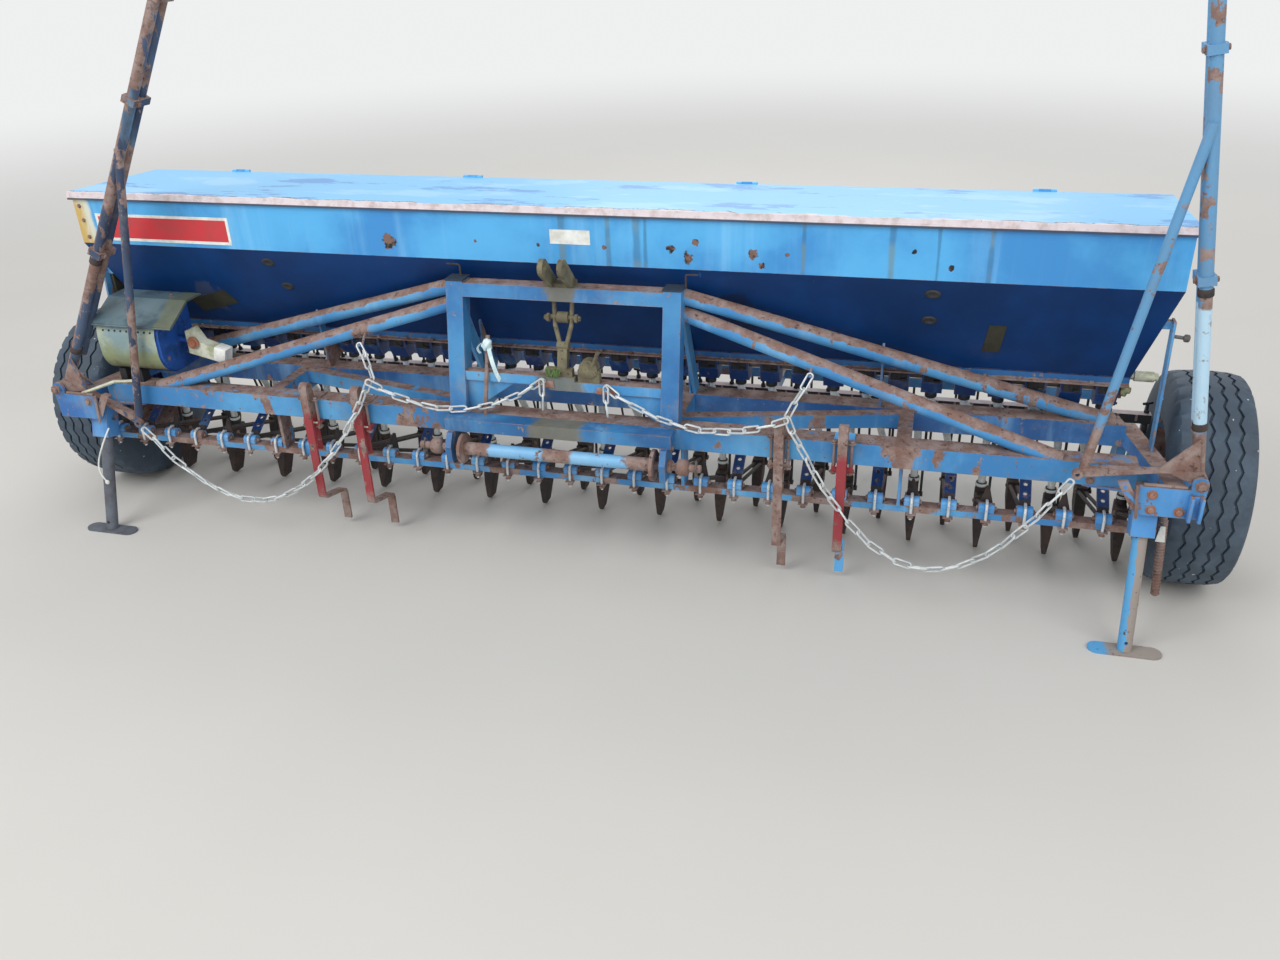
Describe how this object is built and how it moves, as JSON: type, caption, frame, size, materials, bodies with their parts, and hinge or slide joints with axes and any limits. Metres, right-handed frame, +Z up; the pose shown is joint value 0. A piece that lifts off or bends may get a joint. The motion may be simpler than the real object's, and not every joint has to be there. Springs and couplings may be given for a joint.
{
  "type": "mounted seed drill",
  "caption": "Mounted seed drill: long hopper over a frame with headstock, coulters with seed tubes, two transport wheels, folded row markers on chains and front parking stands.",
  "frame": {"origin": "on the ground under the middle of the whole machine's length and width", "axes": "+X to the right seen from the tractor side, along the rows' width; +Y to the back; +Z up"},
  "size_m": [4.648, 1.1746, 2.8071],
  "materials": {
    "bare_steel": "dull, worn",
    "blue_paint": "faded, chipped to rust on the upper edges",
    "cream_paint": "stained, mossy",
    "dark_steel": "dark, oily and rusty",
    "galvanised": "dull zinc",
    "hose_plastic": "dull, dusty",
    "light_blue_paint": "faded, streaked, chipped",
    "navy_paint": "dull, scuffed",
    "red_paint": "worn, over rust",
    "rusty_steel": "rusty, rough",
    "tyre_rubber": "dusty rubber"
  },
  "bodies": {
    "chassis": {"front_beam": "blue_paint", "rear_beam": "blue_paint", "frame_ties": "blue_paint", "side_members": "blue_paint", "headstock": "blue_paint", "headstock_gussets": "blue_paint", "brace_tubes": "blue_paint", "top_link_clevis": "rusty_steel", "top_link_shackle": "rusty_steel", "hitch_beam": "blue_paint", "lower_link_bar": "rusty_steel", "coulter_rail": "blue_paint", "rail_hangers": "blue_paint", "coulter_clamps": "light_blue_paint", "clamp_hooks": "galvanised", "front_coulters": "dark_steel", "rear_coulters": "dark_steel", "coulter_stays": "navy_paint", "pressure_bar": "dark_steel", "pressure_arms": "dark_steel", "pressure_springs": "dark_steel", "seed_tubes": "hose_plastic", "hopper": "light_blue_paint", "hopper_funnel": "navy_paint", "hopper_floor_plate": "navy_paint", "hopper_stays": "blue_paint", "metering_rail": "light_blue_paint", "metering_units": "dark_steel", "metering_shaft": "bare_steel", "gearbox": "cream_paint", "gearbox_lid": "dark_steel", "gearbox_lever": "cream_paint", "wheel_arms": "blue_paint", "stand_sleeves": "blue_paint", "track_looseners": "red_paint", "marker_chains": "galvanised", "harrow_beam": "blue_paint", "harrow_arms": "blue_paint", "harrow_tines": "dark_steel"},
    "wheel_left": {"tyre_left": "tyre_rubber", "wheel_left": "rusty_steel"},
    "wheel_right": {"tyre_right": "tyre_rubber", "wheel_right": "rusty_steel"},
    "marker_left": {"marker_left": "rusty_steel"},
    "marker_right": {"marker_right": "rusty_steel"},
    "marker_disc_left": {"disc_left": "rusty_steel"},
    "marker_disc_right": {"disc_right": "rusty_steel"},
    "lid": {"hopper_lid": "light_blue_paint"},
    "stand_left": {"stand_left": "rusty_steel"},
    "stand_right": {"stand_right": "rusty_steel"}
  },
  "joints": [
    {"name": "wheel_left_spin", "type": "hinge", "parent": "chassis", "child": "wheel_left", "pos_m": [-2.192, 0.01767, 0.38], "axis": [1, 0, 0], "continuous": true},
    {"name": "wheel_right_spin", "type": "hinge", "parent": "chassis", "child": "wheel_right", "pos_m": [2.192, 0.01767, 0.38], "axis": [1, 0, 0], "continuous": true},
    {"name": "marker_left_fold", "type": "hinge", "parent": "chassis", "child": "marker_left", "pos_m": [-2.105, -0.42533, 0.6], "axis": [0, -1, 0], "range_deg": [0, 130]},
    {"name": "marker_right_fold", "type": "hinge", "parent": "chassis", "child": "marker_right", "pos_m": [2.105, -0.42533, 0.6], "axis": [0, 1, 0], "range_deg": [0, 109]},
    {"name": "marker_disc_left_spin", "type": "hinge", "parent": "marker_left", "child": "marker_disc_left", "pos_m": [-1.08076, -0.37933, 2.41034], "axis": [0.3007, 0, 0.9537], "continuous": true},
    {"name": "marker_disc_right_spin", "type": "hinge", "parent": "marker_right", "child": "marker_disc_right", "pos_m": [1.79397, -0.37933, 2.65661], "axis": [0.0593, 0, 0.9982], "continuous": true},
    {"name": "lid_open", "type": "hinge", "parent": "chassis", "child": "lid", "pos_m": [0, 0.28267, 1.31], "axis": [-1, 0, 0], "range_deg": [0, 100]},
    {"name": "stand_left_slide", "type": "slide", "parent": "chassis", "child": "stand_left", "axis": [0, 0.2672, 0.9636], "range_m": [0, 0.33]},
    {"name": "stand_right_slide", "type": "slide", "parent": "chassis", "child": "stand_right", "axis": [0, 0.2672, 0.9636], "range_m": [0, 0.33]}
  ]
}
